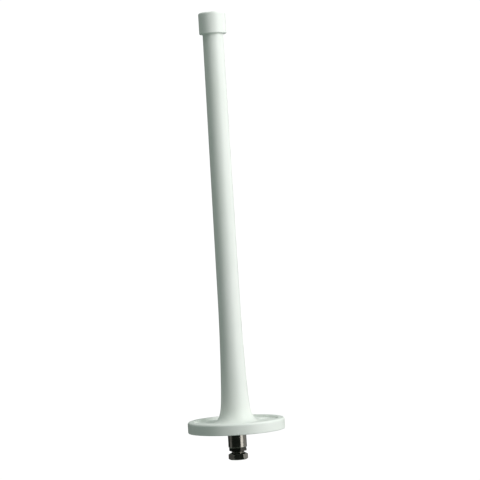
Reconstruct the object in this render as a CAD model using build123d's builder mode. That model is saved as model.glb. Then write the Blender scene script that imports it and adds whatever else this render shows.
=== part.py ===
from build123d import *

import os
from math import cos, radians

# Deck-mounted omnidirectional antenna, in millimetres.
#
# A slim tapered radome rises from a round screw-down flange and is closed by a push-on cap.
# Inside stands a series-fed stack of four sleeve dipoles on a rigid coaxial line. A base plate
# in the flange carries a threaded coaxial jack, and the mating cable plug hangs on that jack.
#
# The origin is the centre of the flange's underside, which lies on the deck, and +Z runs up
# the mast. The rear screw holes stand at 30 and 150 degrees, the front one at 270 degrees.

os.makedirs("parts", exist_ok=True)

# Flange and radome
flange_radius = 50.0
flange_height = 11.5
flange_edge_round = 1.0
rim_round = 2.4
rim_inner_radius = 43.2
rim_inner_round = 1.0
moat_floor = 9.0  # height of the sunk floor between the rim and the mast
moat_radius = 42.4
moat_round = 1.2
foot_radius = 26.0  # where the mast's flare leaves the moat floor
waist_radius = 14.3
waist_height = 33.0
taper_radius = 11.5  # the straight taper starts here and runs to the tip
taper_height = 132.0
tip_radius = 10.65
tip_height = 424.0
tip_chamfer = 0.4
bore_tip_radius = 8.1
bore_taper_radius = 8.9
bore_waist_radius = 11.4
flare_controls = [(17.5, moat_floor), (15.2, 18.0)]  # curves that join the heights above
waist_controls = [(13.15, 51.0), (11.62, 92.0)]
inner_waist_controls = [(8.95, 95.0), (10.4, 52.0)]
inner_flare_controls = [(12.4, 18.5), (15.2, 8.2)]
inner_flare_height = 7.5  # the inner flare ends at the cavity ring
cavity_ceiling = 6.4
cavity_radius = 39.5
cavity_ring_outer = 23.6
cavity_ring_inner = 22.0
rib_count = 12
rib_first_angle = 15.0
rib_thickness = 1.6
wall_overlap = 0.4  # how far ribs and bosses run into the wall they stand on

# Screw pattern of the flange
deck_screw_radius = 33.5
deck_hole_radius = 2.7
deck_sink_radius = 5.2
deck_first_angle = 30.0
deck_boss_radius = 8.0
plate_first_angle = 90.0
plate_boss_radius = 4.5
plate_pilot_radius = 1.5
plate_pilot_top = 7.9

# Base plate and gaskets
plate_radius = 42.0
plate_thickness = 3.0
plate_chamfer = 0.4
seat_radius = 42.2
seat_height = 3.6
deck_groove_inner = 44.5
deck_groove_outer = 48.0
deck_groove_depth = 2.2
small_clearance = 0.1

# M3 countersunk screws, used for the plate and for the jack
screw_radius = 1.45
screw_hole_radius = 1.6
screw_head_radius = 2.95
screw_sink_radius = 3.1
screw_head_low = 0.1
screw_socket_radius = 1.15
screw_socket_depth = 1.2
nut_height = 2.4
nut_across_flats = 5.5

# Coaxial jack with a square flange
jack_hole_spacing = 18.26
jack_flange_side = 25.4
jack_flange_thickness = 2.4
jack_gasket_thickness = 0.7
jack_thread_radius = 7.94
jack_front = -10.5
jack_collar_radius = 5.5
jack_collar_height = 6.0
jack_corner_round = 1.5
jack_throat_radius = 4.2  # takes the plug's contact sleeve
jack_throat_top = -4.9
jack_thread_top = -1.2
jack_socket_front = -8.4
jack_socket_depth = 4.0
jack_socket_slot = 0.25
insulator_radius = 3.5
contact_radius = 1.5
contact_clearance = 0.03
solder_cup_height = 2.0  # the contact's end above the jack's insulator
thread_pitch = 1.0583  # 24 turns to the inch
thread_depth = 0.55
thread_lead = 0.6  # bevel in front of a thread
clamp_pitch = 0.75
clamp_thread_depth = 0.3

# Cable plug
nut_radius = 9.5
nut_top = -0.4
nut_bottom = -17.5
nut_bore_radius = 8.0
nut_shoulder = -11.2
nut_rear_radius = 7.45
nut_groove_radius = 8.2
nut_thread_top = -1.6
nut_top_bevel = 0.5
nut_bottom_bevel = 0.8
finger_radius = 4.03
finger_tip = -5.0
finger_slot_width = 0.3
finger_slot_length = 4.5
plug_shoulder = -11.5
plug_radius = 7.35
ring_groove_depth = 0.65
ring_gap = 3.0  # between the retaining ring's ends
seat_step = -12.2  # the plug insulator's back
insulator_front = -9.5
pin_tip = -6.0
pin_shoulder = -10.0
pin_bottom = -15.5
pin_cup_radius = 0.8
pin_cup_depth = 3.5
face_seal_radius = 7.2
ring_groove_top = -12.3
ring_groove_bottom = -13.4
wrench_top = -17.9
wrench_bottom = -20.8
wrench_across_flats = 16.0
wrench_turn = 47.0
clamp_bore_radius = 6.55
clamp_bore_top = -14.2
clamp_seat_radius = 5.6
braid_bore_radius = 2.6
seal_bottom = -16.4
seal_groove_radii = (4.9, 4.6, 4.3)  # a V groove in the cable seal's lower face
cable_seal_groove_depth = 0.7
washer_bottom = -17.1
clamp_nut_top = -22.9
clamp_nut_bottom = -29.7
clamp_nut_across_flats = 17.5
clamp_nut_turn = 5.3
clamp_nut_top_radius = 7.6
clamp_nut_top_bevel = 1.4
clamp_nut_bottom_radius = 8.4
clamp_nut_bottom_bevel = 0.95
cable_radius = 3.05
cable_bore_radius = 3.35
washer_bore_radius = 3.6

# Radiating stack
wave_in_line = 84.4  # guided wavelength at 2.45 GHz, the spacing of the dipoles
first_dipole = 110.0
dipole_count = 4
slot_height = 3.0
sleeve_length = 28.5  # a quarter wave in air, less the end effect
sleeve_radius = 6.0
sleeve_wall = 0.4
line_radius = 3.175
line_bore_radius = 2.65
line_core_radius = 0.815
line_low = 8.5
core_overlap = 1.5  # how far the line's core runs down into the jack's contact
spacer_height = 2.5
spacer_inset = 0.5
sleeve_end_wall = 0.5
choke_gap = 12.0  # from the lowest sleeve's open end to the choke
tip_short_height = 4.0
tip_short_cap = 1.2
disc_height = 8.0
cushion_gap = 3.0  # between the top of the line and the foam cushion
cushion_chamfer = 1.5
fit = 0.02  # radial clearance of the nested round pieces

# Cap
cap_radius = 14.05
cap_bottom = 408.5
cap_top = 430.3
cap_top_thickness = 3.0
cap_bore_radius = 10.75
cap_mouth_round = 0.5
cap_top_round = 1.8
seal_groove_low = 414.5
seal_groove_height = 1.6
seal_groove_radius = 9.85
seal_width = 0.84
seal_height = 1.4
seal_corner = 0.35

rib_middle = (cavity_ring_inner + cavity_radius) / 2 + wall_overlap
jack_gasket_top = plate_thickness + jack_gasket_thickness
jack_flange_top = jack_gasket_top + jack_flange_thickness
jack_collar_top = jack_flange_top + jack_collar_height
shank_radius = clamp_bore_radius - small_clearance
shank_top = washer_bottom - 0.05
clamp_corner_radius = clamp_nut_across_flats / 2 / cos(radians(30))
dipoles = [first_dipole + wave_in_line * n for n in range(dipole_count)]
line_top = dipoles[-1] + slot_height / 2 + sleeve_length


def bore_radius_at(height):
    """Radius of the radome's bore on its straight taper."""
    share = (height - taper_height) / (tip_height - taper_height)
    return bore_taper_radius + share * (bore_tip_radius - bore_taper_radius)


def thread_outline(radius, depth, pitch, top, bottom):
    """Points of a ring-cut thread from the bottom up; a negative depth cuts outwards."""
    points = []
    for n in range(int((top - bottom) / pitch)):
        root = bottom + (n + 0.5) * pitch
        points += [
            (radius, root - 0.4 * pitch),
            (radius - depth, root),
            (radius, root + 0.4 * pitch),
        ]
    return points


def ring(outer_radius, inner_radius, low, high):
    """A plain round tube, washer or disc standing on the mast's axis."""
    with BuildPart() as piece:
        with BuildSketch(Plane.XY.offset(low)):
            Circle(outer_radius)
            Circle(inner_radius, mode=Mode.SUBTRACT)
        extrude(amount=high - low)
    return piece


# Radome: flange, flare and mast in one moulding

with BuildPart() as radome:
    with BuildSketch(Plane.XZ):
        with BuildLine():
            rim = FilletPolyline(
                (seat_radius, 0),
                (flange_radius, 0),
                (flange_radius, flange_height),
                (rim_inner_radius, flange_height),
                (moat_radius, moat_floor),
                (foot_radius, moat_floor),
                radius=[flange_edge_round, rim_round, rim_inner_round, moat_round],
            )
            flare = Bezier(rim @ 1, *flare_controls, (waist_radius, waist_height))
            waist = Bezier(flare @ 1, *waist_controls, (taper_radius, taper_height))
            tip = Polyline(
                waist @ 1,
                (tip_radius, tip_height - tip_chamfer),
                (tip_radius - tip_chamfer, tip_height),
                (bore_tip_radius, tip_height),
                (bore_taper_radius, taper_height),
            )
            inner_waist = Bezier(
                tip @ 1, *inner_waist_controls, (bore_waist_radius, waist_height)
            )
            inner_flare = Bezier(
                inner_waist @ 1, *inner_flare_controls, (cavity_ring_inner, inner_flare_height)
            )
            Polyline(
                inner_flare @ 1,
                (cavity_ring_inner, seat_height),
                (cavity_ring_outer, seat_height),
                (cavity_ring_outer, cavity_ceiling),
                (cavity_radius, cavity_ceiling),
                (cavity_radius, seat_height),
                (seat_radius, seat_height),
                (seat_radius, 0),
            )
        make_face()
    revolve(axis=Axis.Z)
    with BuildSketch(Plane.XY.offset(seat_height)):
        with PolarLocations(rib_middle, rib_count, start_angle=rib_first_angle):
            Rectangle(cavity_radius - cavity_ring_inner, rib_thickness)
    extrude(amount=cavity_ceiling - seat_height + wall_overlap)
    with BuildSketch(Plane.XY.offset(plate_thickness)):
        with PolarLocations(deck_screw_radius, 3, start_angle=deck_first_angle):
            Circle(deck_boss_radius)
        with PolarLocations(deck_screw_radius, 3, start_angle=plate_first_angle):
            Circle(plate_boss_radius)
        Circle(cavity_radius, mode=Mode.INTERSECT)
    extrude(amount=cavity_ceiling - plate_thickness + wall_overlap)
    with Locations(Plane.XY.offset(moat_floor)):
        with PolarLocations(deck_screw_radius, 3, start_angle=deck_first_angle):
            CounterSinkHole(
                deck_hole_radius, deck_sink_radius, depth=moat_floor, counter_sink_angle=90
            )
    with BuildSketch(Plane.XY.offset(plate_thickness)):
        with PolarLocations(deck_screw_radius, 3, start_angle=plate_first_angle):
            Circle(plate_pilot_radius)
    extrude(amount=plate_pilot_top - plate_thickness, mode=Mode.SUBTRACT)
    with BuildSketch(Plane.XY):
        Circle(deck_groove_outer)
        Circle(deck_groove_inner, mode=Mode.SUBTRACT)
    extrude(amount=deck_groove_depth, mode=Mode.SUBTRACT)
    with BuildSketch(Plane.XY.offset(seal_groove_low)):
        Circle(tip_radius + 1)
        Circle(seal_groove_radius, mode=Mode.SUBTRACT)
    extrude(amount=seal_groove_height, mode=Mode.SUBTRACT)
radome.part.label = "radome"
export_step(radome.part, "parts/radome.step")

# Cap and what is under it

with BuildPart() as end_cap:
    with BuildSketch(Plane.XZ):
        with BuildLine():
            shell = FilletPolyline(
                (cap_bore_radius, cap_bottom),
                (cap_radius, cap_bottom),
                (cap_radius, cap_top),
                (0, cap_top),
                radius=[cap_mouth_round, cap_top_round],
            )
            Polyline(
                shell @ 1,
                (0, cap_top - cap_top_thickness),
                (cap_bore_radius, cap_top - cap_top_thickness),
                (cap_bore_radius, cap_bottom),
            )
        make_face()
    revolve(axis=Axis.Z)
end_cap.part.label = "end_cap"
export_step(end_cap.part, "parts/end_cap.step")

with BuildPart() as cap_seal:
    with BuildSketch(Plane.XZ):
        with Locations(
            (
                (seal_groove_radius + cap_bore_radius) / 2,
                seal_groove_low + seal_groove_height / 2,
            )
        ):
            RectangleRounded(seal_width, seal_height, seal_corner)
    revolve(axis=Axis.Z)
cap_seal.part.label = "cap_seal"
export_step(cap_seal.part, "parts/cap_seal.step")

with BuildPart() as top_cushion:
    with BuildSketch(Plane.XY.offset(line_top + cushion_gap)):
        Circle(bore_tip_radius - small_clearance)
    extrude(amount=tip_height - line_top - cushion_gap)
    chamfer(top_cushion.edges().group_by(Axis.Z)[0], cushion_chamfer)
top_cushion.part.label = "top_cushion"
export_step(top_cushion.part, "parts/top_cushion.step")

# Rigid coaxial line, cut by a ring slot at each dipole

with BuildPart() as line_core:
    with BuildSketch(Plane.XY.offset(line_low - core_overlap)):
        Circle(line_core_radius)
    extrude(amount=line_top - line_low + core_overlap - 1)
line_core.part.label = "line_core"
export_step(line_core.part, "parts/line_core.step")

line_dielectric = ring(
    line_bore_radius - fit,
    line_core_radius + fit,
    jack_collar_top - 1.5,
    line_top - tip_short_height - 0.5,
)
line_dielectric.part.label = "line_dielectric"
export_step(line_dielectric.part, "parts/line_dielectric.step")

shield_lows = [line_low] + [z + slot_height / 2 for z in dipoles]
shield_highs = [z - slot_height / 2 for z in dipoles] + [line_top]
for n, (low, high) in enumerate(zip(shield_lows, shield_highs), start=1):
    shield = ring(line_radius, line_bore_radius, low, high)
    shield.part.label = f"line_shield_{n}"
    export_step(shield.part, f"parts/line_shield_{n}.step")

with BuildPart() as tip_short:
    with BuildSketch(Plane.XY.offset(line_top - tip_short_height)):
        Circle(line_bore_radius - fit)
        Circle(line_core_radius + fit, mode=Mode.SUBTRACT)
    extrude(amount=tip_short_height)
    with BuildSketch(Plane.XY.offset(line_top)):
        Circle(line_radius)
    extrude(amount=tip_short_cap)
    chamfer(tip_short.edges().group_by(Axis.Z)[-1], 0.3)
tip_short.part.label = "tip_short"
export_step(tip_short.part, "parts/tip_short.step")

# Dipole sleeves: each is a cup whose closed end is soldered at a slot


def sleeve_cup(closed_end, open_end):
    """A thin cup on the line: closed beside the slot, open at the far end."""
    inward = sleeve_end_wall if open_end > closed_end else -sleeve_end_wall
    with BuildPart() as cup:
        with BuildSketch(Plane.XY.offset(closed_end)):
            Circle(sleeve_radius)
            Circle(line_radius + fit, mode=Mode.SUBTRACT)
        extrude(amount=open_end - closed_end)
        with BuildSketch(Plane.XY.offset(closed_end + inward)):
            Circle(sleeve_radius - sleeve_wall)
        extrude(amount=open_end - closed_end - inward, mode=Mode.SUBTRACT)
    return cup


def sleeve_spacer(open_end, inward):
    """The ring that centres a sleeve's open end on the line; inward is +1 or -1."""
    near_end = open_end + spacer_inset * inward
    low, high = sorted([near_end, near_end + spacer_height * inward])
    return ring(sleeve_radius - sleeve_wall - fit, line_radius + fit, low, high)


number = 0
for height in dipoles:
    for side in (-1, 1):
        number += 1
        closed_end = height + side * slot_height / 2
        open_end = closed_end + side * sleeve_length
        cup = sleeve_cup(closed_end, open_end)
        cup.part.label = f"dipole_sleeve_{number}"
        export_step(cup.part, f"parts/dipole_sleeve_{number}.step")
        spacer = sleeve_spacer(open_end, -side)
        spacer.part.label = f"sleeve_spacer_{number}"
        export_step(spacer.part, f"parts/sleeve_spacer_{number}.step")

choke_closed_end = dipoles[0] - slot_height / 2 - sleeve_length - choke_gap
choke_sleeve = sleeve_cup(choke_closed_end, choke_closed_end - sleeve_length)
choke_sleeve.part.label = "choke_sleeve"
export_step(choke_sleeve.part, "parts/choke_sleeve.step")
choke_spacer = sleeve_spacer(choke_closed_end - sleeve_length, 1)
choke_spacer.part.label = "choke_spacer"
export_step(choke_spacer.part, "parts/choke_spacer.step")

# Foam discs between the dipoles

for n in range(1, dipole_count):
    middle = (dipoles[n - 1] + dipoles[n]) / 2
    disc = ring(
        bore_radius_at(middle + disc_height / 2) - fit,
        line_radius + fit,
        middle - disc_height / 2,
        middle + disc_height / 2,
    )
    disc.part.label = f"centring_disc_{n}"
    export_step(disc.part, f"parts/centring_disc_{n}.step")

# Base plate and its screws

underside = Plane(origin=(0, 0, 0), x_dir=(1, 0, 0), z_dir=(0, 0, -1))

with BuildPart() as base_plate:
    with BuildSketch(Plane.XY):
        Circle(plate_radius)
        Circle(jack_thread_radius + 0.2, mode=Mode.SUBTRACT)
        with PolarLocations(deck_screw_radius, 3, start_angle=deck_first_angle):
            Circle(deck_hole_radius, mode=Mode.SUBTRACT)
    extrude(amount=plate_thickness)
    chamfer(
        base_plate.edges().filter_by(GeomType.CIRCLE).sort_by(SortBy.RADIUS)[-2:],
        plate_chamfer,
    )
    with Locations(underside):
        with GridLocations(jack_hole_spacing, jack_hole_spacing, 2, 2):
            CounterSinkHole(
                screw_hole_radius, screw_sink_radius, depth=plate_thickness, counter_sink_angle=90
            )
        with PolarLocations(deck_screw_radius, 3, start_angle=-plate_first_angle):
            CounterSinkHole(
                screw_hole_radius, screw_sink_radius, depth=plate_thickness, counter_sink_angle=90
            )
base_plate.part.label = "base_plate"
export_step(base_plate.part, "parts/base_plate.step")

plate_gasket = ring(plate_radius, cavity_radius + 0.2, plate_thickness, seat_height)
plate_gasket.part.label = "plate_gasket"
export_step(plate_gasket.part, "parts/plate_gasket.step")

deck_gasket = ring(
    deck_groove_outer - small_clearance,
    deck_groove_inner + small_clearance,
    0,
    deck_groove_depth - small_clearance,
)
deck_gasket.part.label = "deck_gasket"
export_step(deck_gasket.part, "parts/deck_gasket.step")


def countersunk_screws(places, tip):
    """Countersunk screws with hex sockets, driven from below at each place."""
    head_height = screw_head_radius - screw_radius
    with BuildPart() as screws:
        with BuildSketch(Plane.XY.offset(screw_head_low)):
            with Locations(places):
                Circle(screw_head_radius)
        extrude(amount=head_height, taper=45)
        with BuildSketch(Plane.XY.offset(screw_head_low + head_height)):
            with Locations(places):
                Circle(screw_radius)
        extrude(amount=tip - screw_head_low - head_height)
        with BuildSketch(Plane.XY.offset(screw_head_low)):
            with Locations(places):
                RegularPolygon(screw_socket_radius, 6)
        extrude(amount=screw_socket_depth, mode=Mode.SUBTRACT)
    return screws


plate_screw_places = [
    Location(p.position)
    for p in PolarLocations(deck_screw_radius, 3, start_angle=plate_first_angle)
]
plate_screws = countersunk_screws(plate_screw_places, plate_pilot_top - 0.1)
plate_screws.part.label = "plate_screws"
export_step(plate_screws.part, "parts/plate_screws.step")

# Coaxial jack

jack_screw_places = [
    Location(p.position) for p in GridLocations(jack_hole_spacing, jack_hole_spacing, 2, 2)
]
jack_screws = countersunk_screws(jack_screw_places, jack_flange_top + nut_height + 0.8)
jack_screws.part.label = "jack_screws"
export_step(jack_screws.part, "parts/jack_screws.step")

with BuildPart() as jack_nuts:
    with BuildSketch(Plane.XY.offset(jack_flange_top)):
        with Locations(jack_screw_places):
            RegularPolygon(nut_across_flats / 2 / cos(radians(30)), 6)
            Circle(screw_radius + 0.05, mode=Mode.SUBTRACT)
    extrude(amount=nut_height)
jack_nuts.part.label = "jack_nuts"
export_step(jack_nuts.part, "parts/jack_nuts.step")

with BuildPart() as jack_gasket:
    with BuildSketch(Plane.XY.offset(plate_thickness)):
        RectangleRounded(jack_flange_side, jack_flange_side, jack_corner_round)
        Circle(jack_thread_radius + 0.2, mode=Mode.SUBTRACT)
        with Locations(jack_screw_places):
            Circle(screw_hole_radius, mode=Mode.SUBTRACT)
    extrude(amount=jack_gasket_thickness)
jack_gasket.part.label = "jack_gasket"
export_step(jack_gasket.part, "parts/jack_gasket.step")

with BuildPart() as jack_body:
    with BuildSketch(Plane.XY.offset(jack_gasket_top)):
        RectangleRounded(jack_flange_side, jack_flange_side, jack_corner_round)
        with Locations(jack_screw_places):
            Circle(screw_hole_radius, mode=Mode.SUBTRACT)
    extrude(amount=jack_flange_thickness)
    with BuildSketch(Plane.XZ):
        with BuildLine():
            Polyline(
                (jack_throat_radius, jack_front),
                (jack_thread_radius - thread_lead, jack_front),
                *thread_outline(
                    jack_thread_radius,
                    thread_depth,
                    thread_pitch,
                    jack_thread_top,
                    jack_front + thread_lead,
                ),
                (jack_thread_radius, jack_flange_top),
                (jack_collar_radius, jack_flange_top),
                (jack_collar_radius, jack_collar_top),
                (line_radius + fit, jack_collar_top),
                (line_radius + fit, line_low),
                (insulator_radius, line_low),
                (insulator_radius, jack_throat_top),
                (jack_throat_radius, jack_throat_top),
                close=True,
            )
        make_face()
    revolve(axis=Axis.Z)
    with BuildSketch(Plane.XY.offset(jack_throat_top)):
        Circle(insulator_radius)
    extrude(amount=line_low - jack_throat_top, mode=Mode.SUBTRACT)
jack_body.part.label = "jack_body"
export_step(jack_body.part, "parts/jack_body.step")

jack_insulator = ring(insulator_radius - fit, contact_radius + fit, jack_throat_top, line_low - 0.1)
jack_insulator.part.label = "jack_insulator"
export_step(jack_insulator.part, "parts/jack_insulator.step")

with BuildPart() as jack_contact:
    with BuildSketch(Plane.XY.offset(jack_socket_front)):
        Circle(contact_radius)
    extrude(amount=line_low + solder_cup_height - jack_socket_front)
    chamfer(jack_contact.edges().group_by(Axis.Z)[0], 0.2)
    with BuildSketch(Plane.XY.offset(jack_socket_front)):
        Circle(line_core_radius + contact_clearance)
    extrude(amount=jack_socket_depth, mode=Mode.SUBTRACT)
    with BuildSketch(Plane.XY.offset(jack_socket_front)):
        Rectangle(2 * contact_radius + 1, jack_socket_slot)
        Rectangle(jack_socket_slot, 2 * contact_radius + 1)
    extrude(amount=jack_socket_depth - 1, mode=Mode.SUBTRACT)
    with BuildSketch(Plane.XY.offset(line_low - core_overlap)):
        Circle(line_core_radius + contact_clearance)
    extrude(amount=core_overlap + solder_cup_height + 0.5, mode=Mode.SUBTRACT)
jack_contact.part.label = "jack_contact"
export_step(jack_contact.part, "parts/jack_contact.step")

# Cable plug

with BuildPart() as coupling_nut:
    with BuildSketch(Plane.XZ):
        with BuildLine():
            Polyline(
                (nut_bore_radius + 0.4, nut_top),
                (nut_radius - nut_top_bevel, nut_top),
                (nut_radius, nut_top - nut_top_bevel),
                (nut_radius, nut_bottom + nut_bottom_bevel),
                (nut_radius - nut_bottom_bevel, nut_bottom),
                (nut_rear_radius, nut_bottom),
                (nut_rear_radius, ring_groove_bottom - small_clearance),
                (nut_groove_radius, ring_groove_bottom - small_clearance),
                (nut_groove_radius, ring_groove_top + small_clearance),
                (nut_rear_radius, ring_groove_top + small_clearance),
                (nut_rear_radius, nut_shoulder),
                (nut_bore_radius, nut_shoulder),
                *thread_outline(
                    nut_bore_radius,
                    -thread_depth,
                    thread_pitch,
                    nut_thread_top,
                    nut_shoulder + thread_lead,
                ),
                (nut_bore_radius, nut_top - 0.4),
                close=True,
            )
        make_face()
    revolve(axis=Axis.Z)
coupling_nut.part.label = "coupling_nut"
export_step(coupling_nut.part, "parts/coupling_nut.step")

with BuildPart() as plug_body:
    with BuildSketch(Plane.XZ):
        with BuildLine():
            Polyline(
                (insulator_radius, finger_tip),
                (finger_radius - 0.15, finger_tip),
                (finger_radius, finger_tip - 0.3),
                (finger_radius, plug_shoulder),
                (plug_radius - 0.3, plug_shoulder),
                (plug_radius, plug_shoulder - 0.3),
                (plug_radius, ring_groove_top),
                (plug_radius - ring_groove_depth, ring_groove_top),
                (plug_radius - ring_groove_depth, ring_groove_bottom),
                (plug_radius, ring_groove_bottom),
                (plug_radius, wrench_bottom),
                (clamp_bore_radius, wrench_bottom),
                *thread_outline(
                    clamp_bore_radius,
                    -clamp_thread_depth,
                    clamp_pitch,
                    wrench_top - 0.2,
                    wrench_bottom + 0.2,
                ),
                (clamp_bore_radius, clamp_bore_top),
                (clamp_seat_radius, clamp_bore_top),
                (clamp_seat_radius, seat_step),
                (insulator_radius, seat_step),
                close=True,
            )
        make_face()
    revolve(axis=Axis.Z)
    with BuildSketch(Plane.XY.offset(wrench_bottom)):
        RegularPolygon(wrench_across_flats / 2 / cos(radians(30)), 6, rotation=wrench_turn)
        Circle(clamp_bore_radius, mode=Mode.SUBTRACT)
    extrude(amount=wrench_top - wrench_bottom)
    with BuildSketch(Plane.XY.offset(finger_tip)):
        Rectangle(2 * finger_radius + 1, finger_slot_width)
        Rectangle(finger_slot_width, 2 * finger_radius + 1)
    extrude(amount=-finger_slot_length, mode=Mode.SUBTRACT)
plug_body.part.label = "plug_body"
export_step(plug_body.part, "parts/plug_body.step")

plug_face_seal = ring(
    face_seal_radius, finger_radius + small_clearance, plug_shoulder + 0.05, jack_front - 0.05
)
plug_face_seal.part.label = "plug_face_seal"
export_step(plug_face_seal.part, "parts/plug_face_seal.step")

with BuildPart() as retaining_ring:
    with BuildSketch(Plane.XY.offset(ring_groove_bottom + 0.05)):
        Circle(nut_groove_radius - small_clearance)
        Circle(plug_radius - ring_groove_depth + 0.05, mode=Mode.SUBTRACT)
        with Locations((0, plug_radius)):
            Rectangle(ring_gap, 4, mode=Mode.SUBTRACT)
    extrude(amount=ring_groove_top - ring_groove_bottom - 0.1)
retaining_ring.part.label = "retaining_ring"
export_step(retaining_ring.part, "parts/retaining_ring.step")

with BuildPart() as plug_insulator:
    with BuildSketch(Plane.XZ):
        with BuildLine():
            Polyline(
                (line_core_radius + fit, insulator_front),
                (insulator_radius - fit, insulator_front),
                (insulator_radius - fit, seat_step),
                (contact_radius + fit, seat_step),
                (contact_radius + fit, pin_shoulder),
                (line_core_radius + fit, pin_shoulder),
                close=True,
            )
        make_face()
    revolve(axis=Axis.Z)
plug_insulator.part.label = "plug_insulator"
export_step(plug_insulator.part, "parts/plug_insulator.step")

with BuildPart() as plug_pin:
    with BuildSketch(Plane.XZ):
        with BuildLine():
            Polyline(
                (0, pin_tip),
                (0.35, pin_tip),
                (line_core_radius, pin_tip - 1),
                (line_core_radius, pin_shoulder),
                (contact_radius, pin_shoulder),
                (contact_radius, pin_bottom),
                (0, pin_bottom),
                close=True,
            )
        make_face()
    revolve(axis=Axis.Z)
    with BuildSketch(Plane.XY.offset(pin_bottom)):
        Circle(pin_cup_radius)
    extrude(amount=pin_cup_depth, mode=Mode.SUBTRACT)
plug_pin.part.label = "plug_pin"
export_step(plug_pin.part, "parts/plug_pin.step")

with BuildPart() as braid_clamp:
    with BuildSketch(Plane.XZ):
        with BuildLine():
            Polyline(
                (braid_bore_radius, seat_step - small_clearance),
                (jack_throat_radius, seat_step - small_clearance),
                (clamp_seat_radius - small_clearance, clamp_bore_top + 0.9),
                (clamp_seat_radius - small_clearance, clamp_bore_top + 0.05),
                (cable_radius + 0.05, clamp_bore_top + 0.05),
                (cable_radius + 0.05, clamp_bore_top + 1.1),
                (braid_bore_radius, clamp_bore_top + 1.1),
                close=True,
            )
        make_face()
    revolve(axis=Axis.Z)
braid_clamp.part.label = "braid_clamp"
export_step(braid_clamp.part, "parts/braid_clamp.step")

with BuildPart() as cable_seal:
    with BuildSketch(Plane.XZ):
        with BuildLine():
            Polyline(
                (cable_radius, clamp_bore_top - small_clearance),
                (shank_radius - small_clearance, clamp_bore_top - small_clearance),
                (shank_radius, seal_bottom),
                (seal_groove_radii[0], seal_bottom),
                (seal_groove_radii[1], seal_bottom + cable_seal_groove_depth),
                (seal_groove_radii[2], seal_bottom),
                (cable_radius, seal_bottom),
                close=True,
            )
        make_face()
    revolve(axis=Axis.Z)
cable_seal.part.label = "cable_seal"
export_step(cable_seal.part, "parts/cable_seal.step")

thrust_washer = ring(
    shank_radius, washer_bore_radius, washer_bottom, seal_bottom - small_clearance
)
thrust_washer.part.label = "thrust_washer"
export_step(thrust_washer.part, "parts/thrust_washer.step")

with BuildPart() as clamp_nut:
    with BuildSketch(Plane.XY.offset(clamp_nut_bottom)):
        RegularPolygon(clamp_corner_radius, 6, rotation=clamp_nut_turn)
    extrude(amount=clamp_nut_top - clamp_nut_bottom)
    with BuildSketch(Plane.XZ):
        with BuildLine():
            Polyline(
                (cable_bore_radius, clamp_nut_bottom),
                (clamp_nut_bottom_radius, clamp_nut_bottom),
                (clamp_corner_radius, clamp_nut_bottom + clamp_nut_bottom_bevel),
                (clamp_corner_radius, clamp_nut_top - clamp_nut_top_bevel),
                (clamp_nut_top_radius, clamp_nut_top),
                (cable_bore_radius, clamp_nut_top),
                close=True,
            )
        make_face()
    revolve(axis=Axis.Z, mode=Mode.INTERSECT)
    with BuildSketch(Plane.XZ):
        with BuildLine():
            Polyline(
                (cable_bore_radius, clamp_nut_top),
                (shank_radius - clamp_thread_depth, clamp_nut_top),
                *thread_outline(
                    shank_radius,
                    clamp_thread_depth,
                    clamp_pitch,
                    shank_top - 0.3,
                    clamp_nut_top + 0.2,
                ),
                (shank_radius - 0.3, shank_top),
                (cable_bore_radius, shank_top),
                close=True,
            )
        make_face()
    revolve(axis=Axis.Z)
clamp_nut.part.label = "clamp_nut"
export_step(clamp_nut.part, "parts/clamp_nut.step")
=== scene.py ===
# Looks, studio and camera for the deck-mounted antenna. Metres, +Z up the mast, deck at zero.
import math

import bmesh
import bpy
from mathutils import Matrix, Vector


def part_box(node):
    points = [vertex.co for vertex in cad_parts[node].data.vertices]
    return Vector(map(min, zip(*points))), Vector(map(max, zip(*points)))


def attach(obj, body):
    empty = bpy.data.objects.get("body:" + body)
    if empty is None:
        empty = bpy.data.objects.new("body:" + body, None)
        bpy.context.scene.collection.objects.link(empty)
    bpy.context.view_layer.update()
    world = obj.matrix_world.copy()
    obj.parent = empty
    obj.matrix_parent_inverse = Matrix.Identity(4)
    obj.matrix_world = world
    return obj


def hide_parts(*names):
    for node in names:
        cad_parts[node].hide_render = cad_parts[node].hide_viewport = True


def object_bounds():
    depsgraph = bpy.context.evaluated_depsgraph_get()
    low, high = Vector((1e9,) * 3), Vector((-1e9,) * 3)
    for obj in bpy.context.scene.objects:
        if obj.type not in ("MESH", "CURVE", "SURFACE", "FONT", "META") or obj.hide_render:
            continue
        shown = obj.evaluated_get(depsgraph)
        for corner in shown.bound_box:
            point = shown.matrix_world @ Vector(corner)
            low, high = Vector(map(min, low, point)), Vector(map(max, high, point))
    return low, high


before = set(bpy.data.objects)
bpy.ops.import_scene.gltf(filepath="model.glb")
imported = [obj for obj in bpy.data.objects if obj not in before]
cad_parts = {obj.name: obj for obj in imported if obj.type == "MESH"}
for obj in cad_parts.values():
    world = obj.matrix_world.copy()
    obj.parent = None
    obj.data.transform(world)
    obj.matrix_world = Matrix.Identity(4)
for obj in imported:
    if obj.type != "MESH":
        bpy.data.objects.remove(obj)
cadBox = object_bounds()
mm = 0.001
print("frame loaded:", len(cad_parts), "nodes")


def linear(hexColour):
    parts = [int(hexColour[i:i + 2], 16) / 255 for i in (1, 3, 5)]
    return [c / 12.92 if c <= 0.04045 else ((c + 0.055) / 1.055) ** 2.4 for c in parts] + [1.0]


def addNode(tree, kind, inputs=None, **settings):  # an input is either a value or a socket to link
    node = tree.nodes.new(kind)
    for name, value in settings.items():
        setattr(node, name, value)
    for name, value in (inputs or {}).items():
        if isinstance(value, bpy.types.NodeSocket):
            tree.links.new(value, node.inputs[name])
        else:
            node.inputs[name].default_value = value
    return node


def meshObject(name, data):
    made = bpy.data.objects.new(name, data)
    bpy.context.scene.collection.objects.link(made)
    return made


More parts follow.
